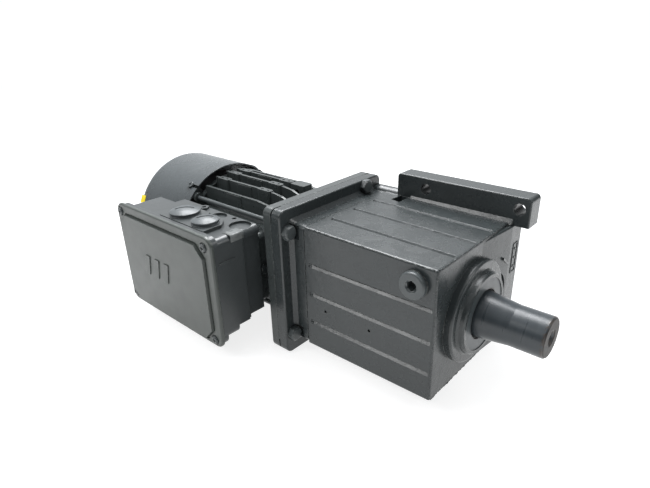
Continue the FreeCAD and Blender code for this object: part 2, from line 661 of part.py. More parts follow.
def top_fins():
    """Upright fins above and below the frame; they drop towards the flange."""
    fins = []
    for y in FIN_Y:
        top = fin_height(y)
        low = math.sqrt(FRAME_BORE_R ** 2 - y ** 2) + 1.0
        outline = [(FRAME_X[0], y, low), (FRAME_X[0], y, top), (-62, y, top),
                   (-42, y, top - 2.5), (-27, y, top - 8.0), (-19, y, low + 4), (-19, y, low)]
        for side in (1, -1):
            points = [(x, yy - FIN_THICK / 2, zz * side) for x, yy, zz in outline]
            fins.append(prism(points, (0, FIN_THICK, 0)))
            thick = box((-112.0, -88.0), (y - FIN_THICK / 2 - 0.6, y + FIN_THICK / 2 + 0.6),
                        sorted((side * low, side * (top - 1.2))))
            fins.append(thick)
    return fins


def side_fins():
    """Level fins on the far side."""
    fins = []
    for z in (-36.0, -24.0, -12.0, 0.0, 12.0, 24.0, 36.0):
        reach = fin_height(z)
        start = math.sqrt(FRAME_BORE_R ** 2 - z ** 2) + 1.0
        fins.append(prism([(FRAME_X[0], start, z - 1.3), (FRAME_X[0], reach, z - 1.3),
                           (-50, reach, z - 1.3), (-24, reach - 9, z - 1.3),
                           (-19, start, z - 1.3)], (0, 0, 2.6)))
    return fins


def ejector_pads():
    """Oval pads with two marks each on the fin tips, and the lifting boss."""
    pads = []
    marks = []
    for y in (FIN_Y[1], FIN_Y[2], FIN_Y[3]):
        top = fin_height(y)
        for x in (-135.0, -67.0):
            pad = rounded_box((x - 10, x + 10), (y - 3.6, y + 3.6), (top - 16, top + 0.4), 3.5, "Z")
            pads.append(pad)
            for dx in (-4.5, 4.5):
                marks.append(peg((x + dx, y, top - 1.2), (0, 0, 1), 3, 1.5))
    y = FIN_Y[3]
    top = fin_height(y)
    pads.append(rounded_box((-54, -34), (y - 7, y + 7), (top - 22, top + 1.0), 2.0, "Z"))
    marks.append(peg((-44, y - 8, top - 7), (0, 1, 0), 16, 3.2))
    return pads, marks


def stator_housing():
    frame = rod(FRAME_X[0], FRAME_X[1], FRAME_R)
    pads, marks = ejector_pads()
    seat = rounded_box((-150.0, -34.0), (BOX_Y[1], -30.0), (-38.0, 38.0), 6.0, "Y")
    feet = []
    for z in (-30.0, 30.0):
        feet.append(box((-140, -44), (-60, -36), (z - 3, z + 3)))
    end_ring = rod(-24.0, FRAME_X[1], 58.0)
    body = joined(frame, seat, end_ring, *top_fins(), *side_fins(), *pads, *feet)
    passage = box((-108, -62), (-70, -40), (-13, 13))
    tools = [rod(-160, 0, FRAME_BORE_R), passage] + marks
    for x, z in BOX_SCREWS:
        tools.append(peg((x, BOX_Y[1] - 1, z), (0, 1, 0), 12, 2.0 + SCREW_GAP))
    tools.append(rod(-43.0, -30.0, 2.5 + SCREW_GAP, EARTH_Y))
    save("stator_housing", body.cut(tools))


def stator_core():
    """Laminated stack with 24 slots, and the windings that fill and overhang them."""
    core = tube(CORE_X[0], CORE_X[1], FRAME_BORE_R, STATOR_BORE_R)
    slots = []
    bars = []
    for i in range(24):
        slot = box((CORE_X[0] - 1, CORE_X[1] + 1), (33.0, 43.0), (-2.0, 2.0))
        bar = box((CORE_X[0] - 2, CORE_X[1] + 2), (33.3, 42.7), (-1.8, 1.8))
        for piece in (slot, bar):
            piece.rotate(V(0, 0, 0), V(1, 0, 0), 15.0 * i)
        slots.append(slot)
        bars.append(bar)
    save("stator_core", core.cut(slots))
    ends = []
    for x0, x1 in ((CORE_X[0] - 20, CORE_X[0] - 1.5), (CORE_X[1] + 1.5, CORE_X[1] + 12)):
        ends.append(turned([(x0, 35.5), (x0 + 2, 33.0), (x1, 33.0), (x1, 44.5),
                            (x0 + 3, 44.5), (x0, 42.0)]))
    save("stator_windings", joined(bars[0], *bars[1:], *ends))


def fan_end_shield():
    """End shield with its bearing seat, four tie-rod lugs and four cowl bosses."""
    disc = turned([(-166.0, 0), (-166.0, 26.0), (-158.0, 30.0), (-156.0, 64.0), (-150.0, 64.0),
                   (-150.0, 49.95), (-146.0, 49.95), (-146.0, 46.0), (-150.0, 46.0), (-150.0, 0)])
    lugs = []
    tools = [rod(-164.0, -149, 20.0), rod(-170, -149, 9.3)]
    for sy in (-1, 1):
        for sz in (-1, 1):
            y, z = sy * TIE_ROD_AT, sz * TIE_ROD_AT
            lugs.append(rod(-156.0, -150.0, 5.6, y, z))
            tools.append(rod(-170, -140, TIE_ROD_R + 0.15, y, z))
    for angle in COWL_SCREW_ANGLES:
        y0, z0 = around(angle, 50.0)
        dy, dz = around(angle, 1.0)
        lugs.append(peg((COWL_SCREW_X + 1, y0, z0), (0, dy, dz), 23.6, 5.0))
        gusset = box((-166.0, -155.0), (-5, 5), (48, 60))
        gusset.rotate(V(0, 0, 0), V(1, 0, 0), 90.0 - angle)
        lugs.append(gusset)
        y1, z1 = around(angle, 60.0)
        tools.append(peg((COWL_SCREW_X, y1, z1), (0, dy, dz), 20, 2.0 + SCREW_GAP))
    shield = joined(disc, *lugs).cut(tools)
    save("fan_end_shield", shield)


def tie_rods():
    rods = []
    nuts = []
    for sy in (-1, 1):
        for sz in (-1, 1):
            y, z = sy * TIE_ROD_AT, sz * TIE_ROD_AT
            rods.append(rod(-163.0, -4.0, TIE_ROD_R, y, z))
            nut = hexagon((-160.2, y, z), (1, 0, 0), 4.0, 8.0)
            nuts.append(nut.cut(rod(-165, -150, TIE_ROD_R + SCREW_GAP, y, z)))
    save("tie_rods", *rods)
    save("tie_rod_nuts", *nuts)


def cowl_solid(inset, mouth_x):
    """Solid of revolution that follows the cowl, set in from its outer skin."""
    x0 = COWL_X[0]
    profile = [(mouth_x, 0), (mouth_x, FLANGE_HALF - inset)]
    for i in range(7):
        a = math.radians(15 * i)
        profile.append((x0 + COWL_CORNER - (COWL_CORNER - inset) * math.sin(a),
                        FLANGE_HALF - COWL_CORNER + (COWL_CORNER - inset) * math.cos(a)))
    profile.append((x0 + inset, 0))
    return turned(profile)


def cowl_grille():
    """Cutter for the round air slots in the rear face, broken by eight spokes."""
    x0 = COWL_X[0]
    slots = [tube(x0 - 1, x0 + 3, inner + GRILLE_SLOT, inner) for inner in GRILLE_R]
    grille = slots[0].fuse(slots[1:])
    for i in range(4):
        spoke = box((x0 - 2, x0 + 4), (-70, 70), (-2.5, 2.5))
        spoke.rotate(V(0, 0, 0), V(1, 0, 0), 45 * i + 22.5)
        grille = grille.cut(spoke)
    return grille


def fan_cowl():
    """Drawn sheet cowl: mouth with open screw slots, rounded rear edge and a rear grille."""
    mouth_x = COWL_X[1]
    tools = [cowl_grille()]
    for angle in COWL_SCREW_ANGLES:
        y, z = around(angle, 60.0)
        dy, dz = around(angle, 1.0)
        tools.append(peg((COWL_SCREW_X, y, z), (0, dy, dz), 20, 2.4))
        slot = box((COWL_SCREW_X - 1.0, mouth_x + 1.0), (-2.0, 2.0), (70, 80))
        slot.rotate(V(0, 0, 0), V(1, 0, 0), 90.0 - angle)
        tools.append(slot)
    skin = cowl_solid(0.0, mouth_x).cut(cowl_solid(COWL_WALL, mouth_x + 1))
    save("fan_cowl", skin.cut(tools))
    save("cowl_screws", *[cowl_screw(angle) for angle in COWL_SCREW_ANGLES])


def cowl_screw(angle):
    """Round-head cross-recess screw that holds the cowl to the fan-end shield."""
    dy, dz = around(angle, 1.0)
    y, z = around(angle, FLANGE_HALF + 0.05)
    head = Part.makeCylinder(4.2, 2.2, V(COWL_SCREW_X, y, z), V(0, dy, dz))
    crown = [e for e in head.Edges if isinstance(e.Curve, Part.Circle)
             and math.hypot(e.Curve.Center.y, e.Curve.Center.z) > FLANGE_HALF + 1.5]
    head = head.makeFillet(0.9, crown)
    y, z = around(angle, FLANGE_HALF - 11.0)
    shank = Part.makeCylinder(2.0, 11.5, V(COWL_SCREW_X, y, z), V(0, dy, dz))
    depth = (FLANGE_HALF + 1.0, FLANGE_HALF + 4.0)
    cross = box((COWL_SCREW_X - 2.4, COWL_SCREW_X + 2.4), (-0.5, 0.5), depth)
    cross = cross.fuse(box((COWL_SCREW_X - 0.5, COWL_SCREW_X + 0.5), (-2.4, 2.4), depth))
    cross.rotate(V(0, 0, 0), V(1, 0, 0), 90.0 - angle)
    return head.fuse(shank).cut(cross).removeSplitter()


# ---------------------------------------------------------------- motor: running parts
def rotor():
    shaft = turned([
        (-205.0, 0), (-205.0, 6.4), (-204.4, 7.0), (-172.0, 7.0), (-172.0, 8.5), (-152.0, 8.5),
        (-152.0, 11.5), (-134.0, 11.5), (-134.0, 14.0), (-36.0, 14.0), (-36.0, 12.0),
        (-30.0, 12.0), (-30.0, 10.0), (1.5, 10.0), (2.0, 9.5), (2.0, 0)])
    shaft = shaft.cut([rod(-28.0, 3, 6.0), tube(-186.0, -184.7, 8, 6.4)])
    save("rotor_shaft", shaft)
    stack = tube(CORE_X[0], CORE_X[1], ROTOR_R, 14.0)
    save("rotor_core", stack)
    cage = []
    for x0, x1 in ((CORE_X[0] - 8, CORE_X[0]), (CORE_X[1], CORE_X[1] + 8)):
        cage.append(tube(x0, x1, 29.5, 20.0))
    vanes = []
    for i in range(8):
        for x0, x1 in ((CORE_X[0] - 14, CORE_X[0] - 7), (CORE_X[1] + 7, CORE_X[1] + 12)):
            vane = box((x0, x1), (21.0, 28.5), (-1.2, 1.2))
            vane.rotate(V(0, 0, 0), V(1, 0, 0), 45 * i)
            vanes.append(vane)
    save("rotor_end_rings", joined(cage[0], *vanes[::2]), joined(cage[1], *vanes[1::2]))
    neck = turned([(-27.0, 0), (-27.5, 5.4), (-26.9, 6.0), (2.0, 6.0), (2.0, 6.9),
                   (PINION_1_X[0], 6.9), (PINION_1_X[0], 0)])
    teeth = toothed(PINION_1_X, STAGE_1["pinion"], STAGE_1["shift"], 0.0)
    save("motor_pinion", neck.fuse(teeth).removeSplitter())


def motor_bearings():
    ball_bearings("drive_end_bearing", (-30.0,), 14.0, 10.0, 23.5, 0.0, 8)
    ball_bearings("fan_end_bearing", (-164.0,), 12.0, 8.5, 20.0, 0.0, 8)
    lip_seal("motor_shaft_seal", -9.0, 7.0, 10.0, 17.5)


def cooling_fan():
    """Radial fan: hub, back disc and eight straight blades, with its retaining ring."""
    hub = tube(-203.5, -186.2, 13.0, 7.0)
    disc = tube(-190.0, -187.5, 62.0, 12.0)
    blades = []
    for i in range(8):
        blade = prism([(-189, 12, -1.1), (-189, 62, -1.1), (-222, 62, -1.1), (-222, 34, -1.1),
                       (-200, 12, -1.1)], (0, 0, 2.2))
        blade.rotate(V(0, 0, 0), V(1, 0, 0), 45 * i)
        blades.append(blade)
    save("cooling_fan", joined(hub, disc, *blades))
    save("fan_circlip", circlip(-185.95, 1.2, 6.5, 10.0))


# ---------------------------------------------------------------- terminal box
def box_outline():
    """Outer shape of the box: a deep front, a shallower foot and a set-back rear wall."""
    body = rounded_box(BOX_X, BOX_Y, BOX_Z, 7.0, "Y")
    steps = [
        box((BOX_X[0] - 1, BOX_X[1] + 1), (-102.0, BOX_Y[1] + 1), (-60, -43.5)),
        box((BOX_X[0] - 1, BOX_X[1] + 1), (-85.0, BOX_Y[1] + 1), (-60, -40.0)),
        box((BOX_X[1] - 2.2, BOX_X[1] + 1), (-88.0, BOX_Y[1] + 1), (-60, 44.0)),
        box((BOX_X[0] - 1, BOX_NECK_X), (-79.5, BOX_Y[1] + 1), (-60, 60)),
    ]
    return body.cut(steps)


def box_inside():
    """Hollow of the box, with its floor raised where the outside is stepped."""
    inside = rounded_box((BOX_X[0] + 4, BOX_X[1] - 5.5), (BOX_Y[0] - 1, BOX_Y[1] - 4),
                         (BOX_Z[0] + 4, BOX_Z[1] - 4), 6.0, "Y")
    return inside.cut([box((-200, 0), (-106.0, -60), (-60, BOX_FLOOR_Z - 1.5)),
                       box((-200, 0), (-89.0, -60), (-60, BOX_FLOOR_Z + 2.0)),
                       box((-200, BOX_NECK_X + 4), (-83.5, -60), (-60, 60))])


def top_details():
    """Cutters for the knock-outs in the top face, and the small blanking plug beside them."""
    tools = []
    for x, y, radius in KNOCKOUTS:
        tools.append(peg((x, y, BOX_Z[1] - 2.4), (0, 0, 1), 6, radius))
    tools.append(peg((-59.2, -70.8, BOX_Z[1] - 2.0), (0, 0, 1), 4, 2.4))
    plug = hexagon((-106.5, -72.5, BOX_Z[1] - 1), (0, 0, 1), 3.2, 9.5)
    plug = plug.cut(peg((-106.5, -72.5, BOX_Z[1] + 0.4), (0, 0, 1), 4, 2.4))
    return tools, plug


def terminal_box():
    """Cast box on the near side: stepped walls, a rim for the lid and an entry pad on top."""
    rim = rounded_box((LID_X[0] + 1.6, LID_X[1] - 1.6), (BOX_Y[0], BOX_Y[0] + 5.0),
                      (LID_Z[0] + 1.6, LID_Z[1] - 1.6), 9.0, "Y")
    pad_plan = [(-121.0, -115.4, 48), (-49.1, -115.4, 48), (-49.1, -94.0, 48),
                (-56.0, -86.0, 48), (-68.0, -82.0, 48), (-86.0, -80.5, 48), (-121.0, -80.5, 48)]
    pad = prism(pad_plan, (0, 0, ENTRY_PAD_Z - 48))
    side_rib = box((BOX_X[1] - 1, BOX_X[1] + 1.4), (-118, -100), (27.5, 29.3))
    tools, blanking_plug = top_details()
    body = joined(box_outline(), rim, pad, side_rib, blanking_plug)
    passage = box((-108, -62), (-80, -60), (-13, 13))
    posts = []
    for x, z in LID_SCREWS:
        posts.append(peg((x, BOX_Y[0], z), (0, 1, 0), 14, 5.5))
        tools.append(peg((x, BOX_Y[0] - 1, z), (0, 1, 0), 13.5, 2.0 + SCREW_GAP))
    for x, y, head in ENTRIES:
        tools.append(peg((x, y, 40), (0, 0, 1), 20, head - 3.0))
    for x, z in BOX_SCREWS:
        tools.append(peg((x, -80, z), (0, 1, 0), 20, 2.3))
    allowed = box_outline().fuse(rim)
    posts = [post.common(allowed) for post in posts]
    shell = body.cut([box_inside(), passage]).fuse(posts).cut(tools).removeSplitter()
    save("terminal_box", shell)
    save("box_screws", *[cap_screw((x, BOX_Y[1] - 4.0, z), (0, 1, 0), 14, 2.0)
                         for x, z in BOX_SCREWS])


def panel_plan(grow, y):
    """Outline of the lid's panel with cut corners, grown by a margin."""
    x0, x1 = PANEL_X[0] - grow, PANEL_X[1] + grow
    z0, z1 = PANEL_Z[0] - grow, PANEL_Z[1] + grow
    cut = PANEL_CUT + grow * 0.6
    return [(x0 + cut, y, z0), (x1 - cut, y, z0), (x1, y, z0 + cut), (x1, y, z1 - cut),
            (x1 - cut, y, z1), (x0 + cut, y, z1), (x0, y, z1 - cut), (x0, y, z0 + cut)]


def lid_emblem():
    """Three leaning bars raised a little from the panel: a plain moulded ornament."""
    bars = []
    for i in range(3):
        x = -146.0 + 17.0 * i
        bars.append(prism([(x, PANEL_Y - 0.9, -13.0), (x + 8.0, PANEL_Y - 0.9, -13.0),
                           (x + 13.0, PANEL_Y - 0.9, 9.0), (x + 5.0, PANEL_Y - 0.9, 9.0)],
                          (0, 1.5, 0)))
    return bars


def terminal_lid():
    """Moulded lid: a border, a narrow moat and a raised panel with cut corners."""
    lid = rounded_box(LID_X, (LID_FACE_Y, LID_BACK_Y), LID_Z, 10.0, "Y")
    edge = [e for e in lid.Edges if e.BoundBox.YMax < LID_FACE_Y + 0.01]
    lid = lid.makeFillet(1.8, edge)
    moat = prism(panel_plan(1.6, LID_FACE_Y - 1), (0, 2.3, 0))
    panel = tapered_groove([panel_plan(0.0, LID_FACE_Y + 1.6), panel_plan(-1.0, PANEL_Y)])
    lid = joined(lid.cut(moat), panel, *lid_emblem())
    tools = []
    for x, z in LID_SCREWS:
        tools.append(peg((x, LID_FACE_Y - 4, z), (0, 1, 0), 5.2, 5.2))
        tools.append(peg((x, LID_FACE_Y - 4, z), (0, 1, 0), 12, 2.3))
    save("terminal_box_lid", lid.cut(tools))
    gasket = rounded_box((LID_X[0] + 4, LID_X[1] - 4), (LID_BACK_Y, BOX_Y[0]),
                         (LID_Z[0] + 4, LID_Z[1] - 4), 8.0, "Y")
    opening = rounded_box((BOX_X[0] + 4, BOX_X[1] - 5.5), (-123, -120),
                          (BOX_Z[0] + 4, BOX_Z[1] - 4), 6.0, "Y")
    posts = [peg((x, LID_BACK_Y, z), (0, 1, 0), 1.0, 5.5) for x, z in LID_SCREWS]
    holes = [peg((x, -123, z), (0, 1, 0), 4, 2.4) for x, z in LID_SCREWS]
    whole = rounded_box(LID_X, (LID_BACK_Y, BOX_Y[0]), LID_Z, 8.0, "Y")
    posts = [post.common(whole) for post in posts]
    save("terminal_box_gasket", joined(gasket.cut(opening), *posts).cut(holes))
    save("lid_screws", *[lid_screw(x, z) for x, z in LID_SCREWS])


def lid_screw(x, z):
    """Cross-recess screw standing in its counterbore in the lid."""
    seat = LID_FACE_Y + 1.2
    head = Part.makeCylinder(4.3, 3.0, V(x, seat - 3.05, z), V(0, 1, 0))
    front = [e for e in head.Edges if isinstance(e.Curve, Part.Circle)
             and e.BoundBox.YMax < seat - 2.0]
    head = head.makeFillet(1.7, front)
    shank = peg((x, seat - 0.2, z), (0, 1, 0), 15, 2.0)
    depth = (seat - 4.0, seat - 1.4)
    cross = box((x - 2.6, x + 2.6), depth, (z - 0.6, z + 0.6))
    other = box((x - 0.6, x + 0.6), depth, (z - 2.6, z + 2.6))
    return head.fuse(shank).cut([cross, other]).removeSplitter()


def terminal_board():
    """Six-stud terminal board on the floor of the box, with nuts and two rows of links."""
    board = rounded_box((-118, -62), (-74.8, -71.05), (-26, 26), 3.0, "Y")
    barrier = [box((x - 1, x + 1), (-80, -74.8), (-24, 24)) for x in (-99.3, -80.7)]
    opening = [peg((x, -60, z), (0, -1, 0), 30, 2.05) for x in (-108.6, -90.0, -71.4)
               for z in (-12.0, 12.0)]
    save("terminal_board", joined(board, *barrier).cut(opening))
    studs = []
    links = []
    for x in (-108.6, -90.0, -71.4):
        link = rounded_box((x - 4.5, x + 4.5), (-76.1, -74.85), (-17, 17), 4.0, "Y")
        links.append(link.cut([peg((x, -60, z), (0, -1, 0), 30, 2.15) for z in (-12.0, 12.0)]))
        for z in (-12.0, 12.0):
            stud = peg((x, -71.1, z), (0, -1, 0), 16, 2.0)
            nut = hexagon((x, -76.15, z), (0, -1, 0), 3.2, 7.0)
            studs.append(stud.fuse(nut).removeSplitter())
    save("terminal_studs", *studs)
    save("terminal_links", *links)


def entry_plugs():
    """Domed slotted plugs in the two cable entries."""
    plugs = []
    for x, y, head_r in ENTRIES:
        base = ENTRY_PAD_Z
        disc = Part.makeCylinder(head_r, 3.2, V(x, y, base + 0.05), V(0, 0, 1))
        disc = disc.cut(Part.makeTorus(head_r + 0.2, 0.8, V(x, y, base + 1.0)))
        dome_r = (head_r ** 2 + 3.4 ** 2) / (2 * 3.4)
        dome = Part.makeSphere(dome_r, V(x, y, base + 3.2 + 3.4 - dome_r))
        dome = dome.common(Part.makeCylinder(head_r - 0.4, 6, V(x, y, base + 3.1), V(0, 0, 1)))
        thread = Part.makeCylinder(head_r - 3.0 - SCREW_GAP, 9.0, V(x, y, base - 8.9), V(0, 0, 1))
        slot = rounded_box((x - 1.1, x + 1.1), (y - head_r * 0.62, y + head_r * 0.62),
                           (base + 4.4, base + 9.0), 1.0, "Z")
        slot.rotate(V(x, y, base), V(0, 0, 1), -38.0)
        plugs.append(disc.fuse([dome, thread]).cut(slot).removeSplitter())
    save("entry_plugs", *plugs)


def small_parts():
    """Earth screw on the frame seat, and the wave washer of the fan-end bearing."""
    head = hexagon((-33.9, EARTH_Y, 0.0), (1, 0, 0), 3.6, 8.0)
    shank = rod(-42.0, -33.0, 2.5, EARTH_Y)
    save("earth_screw", head.fuse(shank).removeSplitter())
    wave = tube(-151.9, -150.6, 19.4, 15.0)
    save("wave_washer", wave)


def main():
    os.makedirs(OUT, exist_ok=True)
    gear_case()
    inner_bearing_bracket()
    screws()
    oil_plugs()
    output_shaft()
    output_gear()
    intermediate_shaft()
    intermediate_gear()
    gear_unit_bearings()
    flange_gasket()
    motor_flange()
    stator_housing()
    stator_core()
    fan_end_shield()
    tie_rods()
    fan_cowl()
    rotor()
    motor_bearings()
    cooling_fan()
    terminal_box()
    terminal_lid()
    terminal_board()
    entry_plugs()
    small_parts()


main()
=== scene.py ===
import json
import math

import bmesh
import bpy
from mathutils import Matrix, Vector, noise


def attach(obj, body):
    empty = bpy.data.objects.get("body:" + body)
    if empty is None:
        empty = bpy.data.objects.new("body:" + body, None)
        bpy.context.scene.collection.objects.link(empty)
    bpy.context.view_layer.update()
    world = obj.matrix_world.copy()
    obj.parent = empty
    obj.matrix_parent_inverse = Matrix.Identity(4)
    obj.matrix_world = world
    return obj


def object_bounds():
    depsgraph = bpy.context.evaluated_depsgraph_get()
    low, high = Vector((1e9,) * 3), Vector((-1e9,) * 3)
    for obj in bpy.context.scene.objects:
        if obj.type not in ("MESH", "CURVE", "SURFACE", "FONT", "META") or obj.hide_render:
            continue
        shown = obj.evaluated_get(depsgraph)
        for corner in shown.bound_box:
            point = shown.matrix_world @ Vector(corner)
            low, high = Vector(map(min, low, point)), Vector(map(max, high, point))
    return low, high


# Looks for a foot-mounted helical gearmotor lying on its side: dark grey enamel over
# castings and sheet metal.  Lengths are in metres; MM turns millimetres into metres.

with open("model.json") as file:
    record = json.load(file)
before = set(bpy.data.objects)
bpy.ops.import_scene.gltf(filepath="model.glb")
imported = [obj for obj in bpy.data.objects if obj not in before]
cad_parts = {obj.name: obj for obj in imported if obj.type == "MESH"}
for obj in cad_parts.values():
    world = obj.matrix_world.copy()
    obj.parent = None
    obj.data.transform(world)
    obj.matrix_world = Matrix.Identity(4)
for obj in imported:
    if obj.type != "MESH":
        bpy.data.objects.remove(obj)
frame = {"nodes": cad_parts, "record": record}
cad_low, cad_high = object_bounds()

MM = 0.001
FLOOR_Z = cad_low.z
SHOULDER = 203.0              # mm from the flange joint to the origin; pieces use flange stations
SHAFT_END_X = 28.6 * MM
# radius inside which the shaft seal is near-black: its rubber lip and painted shade of the gap
SEAL_DARK_LIP_AND_SHADE_R = 23.2 * MM
COWL_R = 75.5
STICKER_X = (-246.0, -237.0)
STICKER_ANGLES = (22.0, 29.5)   # from -Y towards +Z
LABEL_Y = (-102.0, -98.0, -94.0, -90.0, -86.0)
BEAD_STEP = 0.9 * MM          # length of one facet ring of a bead
BEAD_SIDES = 8
BEAD_NEAR = -60.3             # the beads run along these lines near the case's outer edges
BEAD_TOP = 59.9
BEAD_OUTPUT_X = 162.7
LABEL_PROFILE = ((-38.0, 51.9, (0, 0, 1)), (-34.0, 51.9, (0, 0, 1)), (-30.0, 51.9, (0, 0, 1)),
                 (-28.0, 51.9, (0.4, 0, 1)), (-26.9, 51.2, (1, 0, 1)), (-26.9, 48.0, (1, 0, 0)),
                 (-26.9, 45.0, (1, 0, 0)))   # x, z, outward normal


# ------------------------------------------------------------------ camera, floor, lights
CAMERA_AT = Vector((0.1203, -0.3580, 0.2322))
CAMERA_HEADING = 42.354       # degrees to the left of +Y
CAMERA_DOWN = 24.19
CAMERA_ROLL = -1.635
CAMERA_LENS = 28.086          # on a 36 mm wide sensor
WALL_SIDE = (-0.86, 0.51, 0.0) # level direction of the white wall, to the left and behind
ROOM_DIM = 0.12               # brightness of the room behind the camera
CEILING_BRIGHT = 0.75         # added towards the zenith
WALL_BRIGHT = 0.85            # added towards the white wall behind the object
BACKDROP = 1.05               # what the camera itself sees


def add_camera():
    heading, down, roll = (math.radians(a) for a in (CAMERA_HEADING, CAMERA_DOWN, CAMERA_ROLL))
    forward = Vector((-math.sin(heading) * math.cos(down), math.cos(heading) * math.cos(down),
                      -math.sin(down)))
    level = Vector((math.cos(heading), math.sin(heading), 0))
    upright = level.cross(forward)
    right = level * math.cos(roll) + upright * math.sin(roll)
    up = upright * math.cos(roll) - level * math.sin(roll)
    data = bpy.data.cameras.new("camera")
    data.lens = CAMERA_LENS
    data.sensor_width = 36.0
    data.clip_start = 0.01
    camera = bpy.data.objects.new("camera", data)
    turn = Matrix((right, up, -forward)).transposed().to_4x4()
    camera.matrix_world = Matrix.Translation(CAMERA_AT) @ turn
    bpy.context.scene.collection.objects.link(camera)
    bpy.context.scene.camera = camera


def add_area(name, place, aim, size, power, colour=(1, 1, 1)):
    data = bpy.data.lights.new(name, "AREA")
    data.shape = "RECTANGLE"
    data.size, data.size_y = size
    data.energy = power
    data.color = colour
    lamp = bpy.data.objects.new(name, data)
    lamp.location = place
    lamp.rotation_euler = (Vector(aim) - Vector(place)).to_track_quat("-Z", "Y").to_euler()
    bpy.context.scene.collection.objects.link(lamp)


def add_floor():
    mesh = bpy.data.meshes.new("floor")
    half = 3.0
    mesh.from_pydata([(-half, -half, FLOOR_Z), (half, -half, FLOOR_Z), (half, half, FLOOR_Z),
                      (-half, half, FLOOR_Z)], [], [(0, 1, 2, 3)])
    floor = bpy.data.objects.new("floor", mesh)
    bpy.context.scene.collection.objects.link(floor)
    material = bpy.data.materials.new("floor_white")
    material.use_nodes = True
    shader = material.node_tree.nodes["Principled BSDF"]
    shader.inputs["Base Color"].default_value = (0.38, 0.38, 0.38, 1)
    shader.inputs["Roughness"].default_value = 0.9
    shader.inputs["Specular IOR Level"].default_value = 0.1
    shader.inputs["Emission Color"].default_value = (1, 1, 1, 1)
    shader.inputs["Emission Strength"].default_value = 0.80
    mesh.materials.append(material)


def add_world():
    """White wall behind the object, a bright ceiling and a dim room behind the camera."""
    world = bpy.data.worlds.new("studio")
    bpy.context.scene.world = world
    world.use_nodes = True
    nodes, links = world.node_tree.nodes, world.node_tree.links

    def rise(source, low, high, gain):
        made = nodes.new("ShaderNodeMapRange")
        made.interpolation_type = "SMOOTHSTEP"
        made.inputs["From Min"].default_value = low
        made.inputs["From Max"].default_value = high
        made.inputs["To Max"].default_value = gain
        links.new(source, made.inputs["Value"])
        return made.outputs["Result"]

    def add(first, second):
        made = nodes.new("ShaderNodeMath")
        links.new(first, made.inputs[0])
        if isinstance(second, float):
            made.inputs[1].default_value = second
        else:
            links.new(second, made.inputs[1])
        return made.outputs["Value"]

    place = nodes.new("ShaderNodeTexCoord").outputs["Generated"]
    split = nodes.new("ShaderNodeSeparateXYZ")
    links.new(place, split.inputs[0])
    toward = nodes.new("ShaderNodeVectorMath")
    toward.operation = "DOT_PRODUCT"
    toward.inputs[1].default_value = WALL_SIDE
    links.new(place, toward.inputs[0])
    ceiling = rise(split.outputs["Z"], 0.35, 0.95, CEILING_BRIGHT)
    wall = rise(toward.outputs["Value"], 0.1, 0.8, WALL_BRIGHT)
    room = add(add(ceiling, wall), ROOM_DIM)
    strength = nodes.new("ShaderNodeMix")
    links.new(nodes.new("ShaderNodeLightPath").outputs["Is Camera Ray"],
              strength.inputs["Factor"])
    links.new(room, strength.inputs["A"])
    strength.inputs["B"].default_value = BACKDROP
    back = nodes["Background"]
    links.new(strength.outputs["Result"], back.inputs["Strength"])
    back.inputs["Color"].default_value = (0.96, 0.98, 1.0, 1)


def add_lights():
    add_area("overhead", (-0.65, 0.40, 1.2), (-0.15, 0, 0), (0.9, 0.9), 34.0, (0.97, 0.98, 1.0))
    add_area("edge_light", (-0.66, -0.80, 0.74), (-0.1, -0.06, 0.0), (0.5, 0.3), 4.2)
    add_area("output_light", (0.80, 0.38, 0.72), (-0.04, 0, 0.02), (0.45, 0.35), 3.6)


